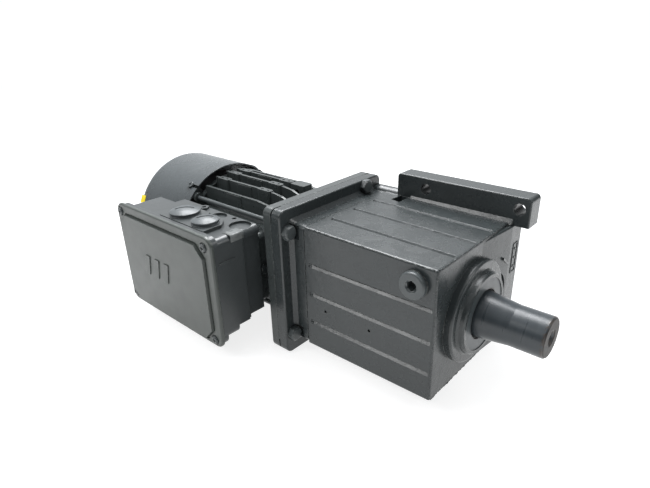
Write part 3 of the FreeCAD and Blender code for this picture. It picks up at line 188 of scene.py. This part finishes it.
# ------------------------------------------------------------------ material building
class Tree:
    """Small helper that wires up one procedural material."""

    def __init__(self, name):
        self.wire(bpy.data.materials.new(name))

    @classmethod
    def over(cls, material):
        """Helper for adding to a material that is already made."""
        tree = cls.__new__(cls)
        tree.wire(material)
        return tree

    def wire(self, material):
        self.material = material
        self.material.use_nodes = True
        self.nodes = self.material.node_tree.nodes
        self.links = self.material.node_tree.links
        self.shader = self.nodes["Principled BSDF"]
        self.place = self.node("ShaderNodeTexCoord").outputs["Object"]

    def node(self, kind, **settings):
        made = self.nodes.new(kind)
        for key, value in settings.items():
            setattr(made, key, value)
        return made

    def link(self, source, target):
        self.links.new(source, target)

    def noise(self, size_mm, detail=4.0, rough=0.55, stretch=(1, 1, 1)):
        """Noise whose features are about size_mm across."""
        mapping = self.node("ShaderNodeMapping")
        mapping.inputs["Scale"].default_value = stretch
        self.link(self.place, mapping.inputs["Vector"])
        made = self.node("ShaderNodeTexNoise")
        made.inputs["Scale"].default_value = 1000.0 / size_mm
        made.inputs["Detail"].default_value = detail
        made.inputs["Roughness"].default_value = rough
        self.link(mapping.outputs["Vector"], made.inputs["Vector"])
        return made.outputs["Fac"]

    def ramp(self, source, low, high, low_value=0.0, high_value=1.0):
        """Smooth step of a value between two limits."""
        made = self.node("ShaderNodeMapRange", interpolation_type="SMOOTHSTEP")
        made.inputs["From Min"].default_value = low
        made.inputs["From Max"].default_value = high
        made.inputs["To Min"].default_value = low_value
        made.inputs["To Max"].default_value = high_value
        self.link(source, made.inputs["Value"])
        return made.outputs["Result"]

    def maths(self, operation, first, second):
        made = self.node("ShaderNodeMath", operation=operation)
        for socket, value in zip(made.inputs, (first, second)):
            if isinstance(value, (int, float)):
                socket.default_value = value
            else:
                self.link(value, socket)
        return made.outputs["Value"]

    def mix(self, factor, first, second):
        made = self.node("ShaderNodeMix", data_type="RGBA")
        if isinstance(factor, (int, float)):
            made.inputs[0].default_value = factor
        else:
            self.link(factor, made.inputs[0])
        for index, value in ((6, first), (7, second)):
            if isinstance(value, tuple):
                made.inputs[index].default_value = (*value, 1.0)
            else:
                self.link(value, made.inputs[index])
        return made.outputs[2]

    def edges(self, radius_mm):
        """1 along convex and concave edges, 0 on flat faces."""
        bevel = self.node("ShaderNodeBevel", samples=6)
        bevel.inputs["Radius"].default_value = radius_mm * MM
        geometry = self.node("ShaderNodeNewGeometry")
        dot = self.node("ShaderNodeVectorMath", operation="DOT_PRODUCT")
        self.link(bevel.outputs["Normal"], dot.inputs[0])
        self.link(geometry.outputs["Normal"], dot.inputs[1])
        return self.ramp(dot.outputs["Value"], 0.995, 0.85)

    def bump(self, layers, round_mm=0.0):
        """Chain of (height, strength, distance in mm) bumps over edges rounded by round_mm."""
        previous = None
        if round_mm:
            rounded = self.node("ShaderNodeBevel", samples=6)
            rounded.inputs["Radius"].default_value = round_mm * MM
            previous = rounded.outputs["Normal"]
        for height, strength, distance in layers:
            made = self.node("ShaderNodeBump")
            made.inputs["Strength"].default_value = strength
            made.inputs["Distance"].default_value = distance * MM
            self.link(height, made.inputs["Height"])
            if previous is not None:
                self.link(previous, made.inputs["Normal"])
            previous = made.outputs["Normal"]
        self.link(previous, self.shader.inputs["Normal"])


def srgb(red, green, blue):
    """8-bit screen colour as linear values."""
    def channel(value):
        value /= 255.0
        return value / 12.92 if value <= 0.04045 else ((value + 0.055) / 1.055) ** 2.4
    return tuple(channel(v) for v in (red, green, blue))


def scaled(colour, factor):
    return tuple(min(1.0, c * factor) for c in colour)


def paint(name, colour, gloss, cast=0.0, peel=0.35, dust=0.2, wear_and_edge_highlight=0.35, soften=0.4):
    """Grey enamel: faint drift, dust, worn edges lightened partly as painted highlight, orange
    peel and, if cast, a sand skin.
    """
    tree = Tree(name)
    drift = tree.ramp(tree.noise(45.0, 3.0), 0.30, 0.70)
    base = tree.mix(drift, scaled(colour, 0.93), scaled(colour, 1.07))
    mottle = tree.ramp(tree.noise(6.0, 5.0, 0.65), 0.50, 0.78, 0.0, 0.25)
    base = tree.mix(mottle, base, scaled(colour, 0.72))
    specks = tree.ramp(tree.noise(0.9, 2.0), 0.68, 0.76, 0.0, dust)
    base = tree.mix(specks, base, srgb(138, 135, 124))
    # Lighter paint along the edges, broken by noise: partly worn paint, partly painted highlight.
    rubbed_and_highlit = tree.maths("MULTIPLY", tree.edges(0.9), tree.ramp(tree.noise(3.0, 4.0), 0.44, 0.60))
    rubbed_and_highlit = tree.maths("MULTIPLY", rubbed_and_highlit, wear_and_edge_highlight)
    base = tree.mix(rubbed_and_highlit, base, srgb(150, 154, 150))
    scuffs = tree.ramp(tree.noise(9.0, 5.0, 0.7, (1.0, 0.35, 3.0)), 0.66, 0.72, 0.0, wear_and_edge_highlight * 0.35)
    base = tree.mix(scuffs, base, srgb(116, 121, 119))
    tree.link(base, tree.shader.inputs["Base Color"])
    smear = tree.ramp(tree.noise(14.0, 4.0), 0.3, 0.7, gloss - 0.02, gloss + 0.05)
    tree.link(tree.maths("ADD", smear, tree.maths("MULTIPLY", scuffs, 0.15)),
              tree.shader.inputs["Roughness"])
    tree.shader.inputs["Specular IOR Level"].default_value = 0.5
    layers = [(tree.noise(1.8, 3.0, 0.5), peel, 0.05)]
    if cast:
        layers.append((tree.noise(7.0, 6.0, 0.60), cast, 0.50))
        layers.append((tree.noise(0.9, 2.0, 0.5), cast, 0.08))
    tree.bump(layers, soften)
    return tree.material


def shaft_paint(name, colour, end_x):
    """Smooth enamel on the shaft, worn round the rim and rust-brown on the end face, which is
    darkened further as painted shade.
    """
    tree = Tree(name)
    split = tree.node("ShaderNodeSeparateXYZ")
    tree.link(tree.place, split.inputs[0])
    along = split.outputs["X"]
    rings = tree.noise(2.5, 4.0, 0.6, (1.0, 0.06, 0.06))
    base = tree.mix(tree.ramp(rings, 0.3, 0.7), scaled(colour, 0.95), scaled(colour, 1.05))
    dirt = tree.ramp(tree.noise(7.0, 5.0, 0.7), 0.55, 0.75, 0.0, 0.35)
    base = tree.mix(dirt, base, scaled(colour, 0.55))
    near_end = tree.ramp(along, end_x - 4.0 * MM, end_x - 0.8 * MM)
    chips = tree.maths("MULTIPLY", near_end, tree.ramp(tree.noise(2.6, 5.0, 0.7), 0.44, 0.52))
    base = tree.mix(chips, base, srgb(58, 50, 44))
    # End face: rust-brown, darkened further as painted shade.
    face = tree.ramp(along, end_x - 1.0 * MM, end_x - 0.2 * MM)
    rust_and_shade = tree.mix(tree.ramp(tree.noise(5.0, 5.0), 0.35, 0.65), srgb(28, 26, 24),
                     srgb(52, 46, 41))
    base = tree.mix(face, base, rust_and_shade)
    tree.link(base, tree.shader.inputs["Base Color"])
    shine = tree.ramp(rings, 0.3, 0.7, 0.27, 0.36)
    tree.link(tree.maths("ADD", shine, tree.maths("MULTIPLY", face, 0.25)),
              tree.shader.inputs["Roughness"])
    tree.bump([(rings, 0.06, 0.04), (tree.noise(1.4, 3.0), 0.15, 0.04)], 0.3)
    return tree.material


def steel(name, colour, roughness, grain=(1, 1, 1), metallic=1.0):
    """Bare turned or ground steel with directional grain and faint stains."""
    tree = Tree(name)
    stain = tree.ramp(tree.noise(14.0, 5.0), 0.40, 0.72, 0.0, 0.5)
    base = tree.mix(stain, colour, tuple(c * 0.62 for c in colour))
    tree.link(base, tree.shader.inputs["Base Color"])
    tree.shader.inputs["Metallic"].default_value = metallic
    grains = tree.noise(0.5, 3.0, 0.6, grain)
    tree.link(tree.ramp(grains, 0.3, 0.7, roughness - 0.08, roughness + 0.12),
              tree.shader.inputs["Roughness"])
    tree.bump([(grains, 0.25, 0.03)])
    return tree.material


def moulded(name, colour, roughness, grain_mm=0.6, strength=0.3):
    """Moulded plastic or rubber with a fine spark-eroded grain."""
    tree = Tree(name)
    tone = tree.ramp(tree.noise(25.0, 3.0), 0.35, 0.7)
    base = tree.mix(tone, colour, tuple(min(1.0, c * 1.25 + 0.002) for c in colour))
    dusty = tree.ramp(tree.noise(2.2, 4.0), 0.60, 0.78, 0.0, 0.3)
    base = tree.mix(dusty, base, srgb(120, 118, 110))
    tree.link(base, tree.shader.inputs["Base Color"])
    tree.link(tree.ramp(tree.noise(6.0, 3.0), 0.3, 0.7, roughness - 0.05, roughness + 0.08),
              tree.shader.inputs["Roughness"])
    tree.bump([(tree.noise(grain_mm, 2.0), strength, 0.04)])
    return tree.material


def seal_ring_with_painted_shade(name, colour, dark_lip_and_shade_r):
    """Enamel on the face of the shaft seal; inside the given radius it is near-black: the dark
    rubber lip, darkened further as painted shade of the gap round the shaft.
    """
    material = paint(name, colour, 0.36)
    tree = Tree.over(material)
    split = tree.node("ShaderNodeSeparateXYZ")
    tree.link(tree.place, split.inputs[0])
    radius = tree.node("ShaderNodeMath", operation="SQRT")
    squares = tree.maths("ADD", tree.maths("MULTIPLY", split.outputs["Y"], split.outputs["Y"]),
                         tree.maths("MULTIPLY", split.outputs["Z"], split.outputs["Z"]))
    tree.link(squares, radius.inputs[0])
    outside = tree.ramp(radius.outputs["Value"], dark_lip_and_shade_r, dark_lip_and_shade_r + 0.3 * MM)
    painted = tree.shader.inputs["Base Color"].links[0].from_socket
    # Near-black inside the radius: dark lip and painted shade of the gap round the shaft.
    tree.link(tree.mix(outside, srgb(16, 16, 17), painted), tree.shader.inputs["Base Color"])
    return material


def materials():
    """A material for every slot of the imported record, and for two nodes of their own."""
    body = srgb(45, 50, 51)
    return {
        "case_paint": paint("case_enamel", body, 0.25, cast=0.42, peel=0.5),
        "motor_paint": paint("motor_enamel", srgb(54, 59, 59), 0.28, cast=0.32),
        "sheet_paint": paint("cowl_enamel", srgb(68, 73, 75), 0.26, peel=0.45, dust=0.10),
        "lid_paint": paint("lid_enamel", srgb(66, 71, 68), 0.34, peel=0.30, dust=0.08),
        "box_paint": paint("box_enamel", srgb(56, 60, 61), 0.30, cast=0.10, wear_and_edge_highlight=0.15),
        # The shaft's end face carries painted shade.
        "shaft_paint": shaft_paint("shaft_enamel", srgb(50, 56, 60), SHAFT_END_X),
        "earth_screw": paint("earth_screw_enamel", body, 0.34, wear_and_edge_highlight=0.6),
        # The seal carries painted shade of the gap round the shaft.
        "output_shaft_seal": seal_ring_with_painted_shade("seal_enamel_with_painted_shade", srgb(62, 68, 70), SEAL_DARK_LIP_AND_SHADE_R),
        "screw_paint": paint("screw_enamel", srgb(66, 71, 72), 0.30, peel=0.3, wear_and_edge_highlight=0.8),
        "plug_plastic": moulded("plug_plastic", srgb(66, 71, 73), 0.36),
        "machined_steel": steel("machined_steel", (0.50, 0.51, 0.52), 0.32, (1, 20, 20)),
        "bearing_steel": steel("bearing_steel", (0.62, 0.63, 0.65), 0.16, (1, 12, 12)),
        "gear_steel": steel("gear_steel", (0.36, 0.37, 0.39), 0.30, (1, 16, 16)),
        "spring_steel": steel("spring_steel", (0.13, 0.13, 0.14), 0.42),
        "lamination": steel("lamination", (0.28, 0.29, 0.31), 0.45, (60, 1, 1)),
        "die_cast": steel("die_cast", (0.62, 0.63, 0.65), 0.40),
        "bracket_iron": steel("bracket_iron", (0.20, 0.20, 0.21), 0.60, metallic=0.7),
        "copper": steel("copper", (0.62, 0.27, 0.12), 0.38, (1, 30, 30)),
        "brass": steel("brass", (0.66, 0.50, 0.22), 0.30),
        "seal_rubber": moulded("seal_rubber", srgb(34, 34, 34), 0.62),
        "gasket_fibre": moulded("gasket_fibre", srgb(70, 72, 70), 0.80),
        "fan_plastic": moulded("fan_plastic", srgb(32, 33, 35), 0.45),
        "board_plastic": moulded("board_plastic", srgb(52, 46, 40), 0.50),
    }


def sticker_yellow():
    """Yellow foil without print, scratched and a little dirty."""
    tree = Tree("sticker_yellow")
    dirt = tree.ramp(tree.noise(3.0, 5.0, 0.7), 0.50, 0.75, 0.0, 0.5)
    base = tree.mix(dirt, srgb(232, 208, 22), srgb(168, 148, 40))
    scratch = tree.ramp(tree.noise(1.2, 4.0, 0.6, (0.2, 2.0, 2.0)), 0.66, 0.70, 0.0, 0.7)
    base = tree.mix(scratch, base, srgb(222, 214, 180))
    tree.link(base, tree.shader.inputs["Base Color"])
    tree.link(tree.ramp(dirt, 0.0, 0.5, 0.30, 0.55), tree.shader.inputs["Roughness"])
    tree.bump([(tree.noise(4.0, 2.0), 0.2, 0.05)])
    return tree.material


def label_grey():
    """Matt grey foil with faint creases."""
    tree = Tree("label_grey")
    tone = tree.ramp(tree.noise(4.0, 4.0), 0.35, 0.65)
    base = tree.mix(tone, srgb(84, 88, 88), srgb(98, 101, 100))
    tree.link(base, tree.shader.inputs["Base Color"])
    tree.link(tree.ramp(tree.noise(2.0, 2.0), 0.3, 0.7, 0.45, 0.6),
              tree.shader.inputs["Roughness"])
    tree.bump([(tree.noise(3.0, 3.0, 0.6, (1.0, 4.0, 1.0)), 0.35, 0.08)])
    return tree.material


# ------------------------------------------------------------------ finish of the CAD nodes
def dress_cad_nodes(library):
    """Give every CAD node the material of its slot, or its own where it has one."""
    slots = {s["node"]: s["material_slot"] for s in frame["record"]["subparts"]}
    for name, node in frame["nodes"].items():
        if not node.material_slots:
            node.data.materials.append(None)
        for place in node.material_slots:
            place.material = library.get(name, library[slots[name]])


# ------------------------------------------------------------------ small visible pieces
def station(x, y, z):
    """Point given in millimetres from the flange joint, in the shared frame."""
    return Vector(((x - SHOULDER) * MM, y * MM, z * MM))


def piece(name, mesh_data, material):
    """Add a piece that rides on the housing."""
    made = bpy.data.objects.new(name, mesh_data)
    bpy.context.scene.collection.objects.link(made)
    mesh_data.materials.append(material)
    for face in mesh_data.polygons:
        face.use_smooth = True
    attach(made, "housing")
    return made


def grid_shell(name, rows, thick):
    """Closed thin shell over a grid of (point, outward normal) pairs."""
    mesh = bmesh.new()
    layers = []
    for lift in (0.0, thick * MM):
        layers.append([[mesh.verts.new(point + normal * lift) for point, normal in row]
                       for row in rows])
    under, over = layers
    for i in range(len(rows) - 1):
        for j in range(len(rows[0]) - 1):
            mesh.faces.new((over[i][j], over[i + 1][j], over[i + 1][j + 1], over[i][j + 1]))
            mesh.faces.new((under[i][j], under[i][j + 1], under[i + 1][j + 1], under[i + 1][j]))
    rim = ([(i, 0) for i in range(len(rows))]
           + [(len(rows) - 1, j) for j in range(1, len(rows[0]))]
           + [(i, len(rows[0]) - 1) for i in range(len(rows) - 2, -1, -1)]
           + [(0, j) for j in range(len(rows[0]) - 2, 0, -1)])
    for (i, j), (k, m) in zip(rim, rim[1:] + rim[:1]):
        mesh.faces.new((under[i][j], under[k][m], over[k][m], over[i][j]))
    bmesh.ops.recalc_face_normals(mesh, faces=mesh.faces)
    data = bpy.data.meshes.new(name)
    mesh.to_mesh(data)
    mesh.free()
    return data


def cowl_sticker(material):
    """Warning-yellow sticker without print, wrapped on the cowl near its grille end."""
    rows = []
    for i in range(7):
        x = STICKER_X[0] + (STICKER_X[1] - STICKER_X[0]) * i / 6
        row = []
        for j in range(25):
            angle = math.radians(STICKER_ANGLES[0]
                                 + (STICKER_ANGLES[1] - STICKER_ANGLES[0]) * j / 24)
            normal = Vector((0, -math.cos(angle), math.sin(angle)))
            row.append((station(x, 0, 0) + normal * (COWL_R + 0.02) * MM, normal))
        rows.append(row)
    piece("cowl_sticker", grid_shell("cowl_sticker", rows, 0.15), material)


def folded_label(material):
    """Plain grey label stuck on the top of the box and folded down over its side."""
    rows = []
    for y in LABEL_Y:
        row = []
        for x, z, normal in LABEL_PROFILE:
            row.append((station(x, y, z), Vector(normal).normalized()))
        rows.append(row)
    piece("box_label", grid_shell("box_label", rows, 0.15), material)


def bead(name, start, end, inward, material):
    """Irregular bead of paint and casting flash along one outer edge of the gear case."""
    steps = int((end - start).length / BEAD_STEP)
    along = (end - start).normalized()
    side = inward.cross(along).normalized()
    mesh = bmesh.new()
    rings = []
    for i in range(steps + 1):
        centre = start.lerp(end, i / steps)
        lump = noise.noise(centre * 260.0) * 0.5 + noise.noise(centre * 700.0) * 0.5
        radius = (0.62 + 1.1 * max(-0.35, lump)) * MM
        ring = []
        for j in range(BEAD_SIDES):
            turn = 2 * math.pi * j / BEAD_SIDES
            spoke = inward * math.cos(turn) + side * math.sin(turn)
            rough = 1.0 + 0.35 * noise.noise((centre + spoke * 0.003) * 1500.0)
            ring.append(mesh.verts.new(centre + spoke * radius * rough))
        rings.append(ring)
    for first, second in zip(rings, rings[1:]):
        for j in range(BEAD_SIDES):
            k = (j + 1) % BEAD_SIDES
            mesh.faces.new((first[j], first[k], second[k], second[j]))
    mesh.faces.new(rings[0])
    mesh.faces.new(rings[-1])
    bmesh.ops.recalc_face_normals(mesh, faces=mesh.faces)
    data = bpy.data.meshes.new(name)
    mesh.to_mesh(data)
    mesh.free()
    piece(name, data, material)


def case_beads(material):
    """Beads along three edges of the output face and the long near edge of the top."""
    x, near, top, low = BEAD_OUTPUT_X, BEAD_NEAR, BEAD_TOP, -BEAD_TOP
    bead("bead_output_top", station(x, near + 2, top), station(x, 60, top),
         Vector((-1, 0, -1)).normalized(), material)
    bead("bead_output_near", station(x, near, low + 2), station(x, near, top - 2),
         Vector((-1, 1, 0)).normalized(), material)
    bead("bead_output_low", station(x, near + 2, low), station(x, 60, low),
         Vector((-1, 0, 1)).normalized(), material)
    bead("bead_near_top", station(31, near - 1.3, top + 1.4), station(160, near, top),
         Vector((0, 1, -1)).normalized(), material)


def add_pieces(library):
    cowl_sticker(sticker_yellow())
    folded_label(label_grey())
    case_beads(library["case_paint"])


library = materials()
dress_cad_nodes(library)
add_pieces(library)
add_world()
add_lights()
add_floor()
add_camera()

bpy.context.scene.view_settings.view_transform = "Standard"
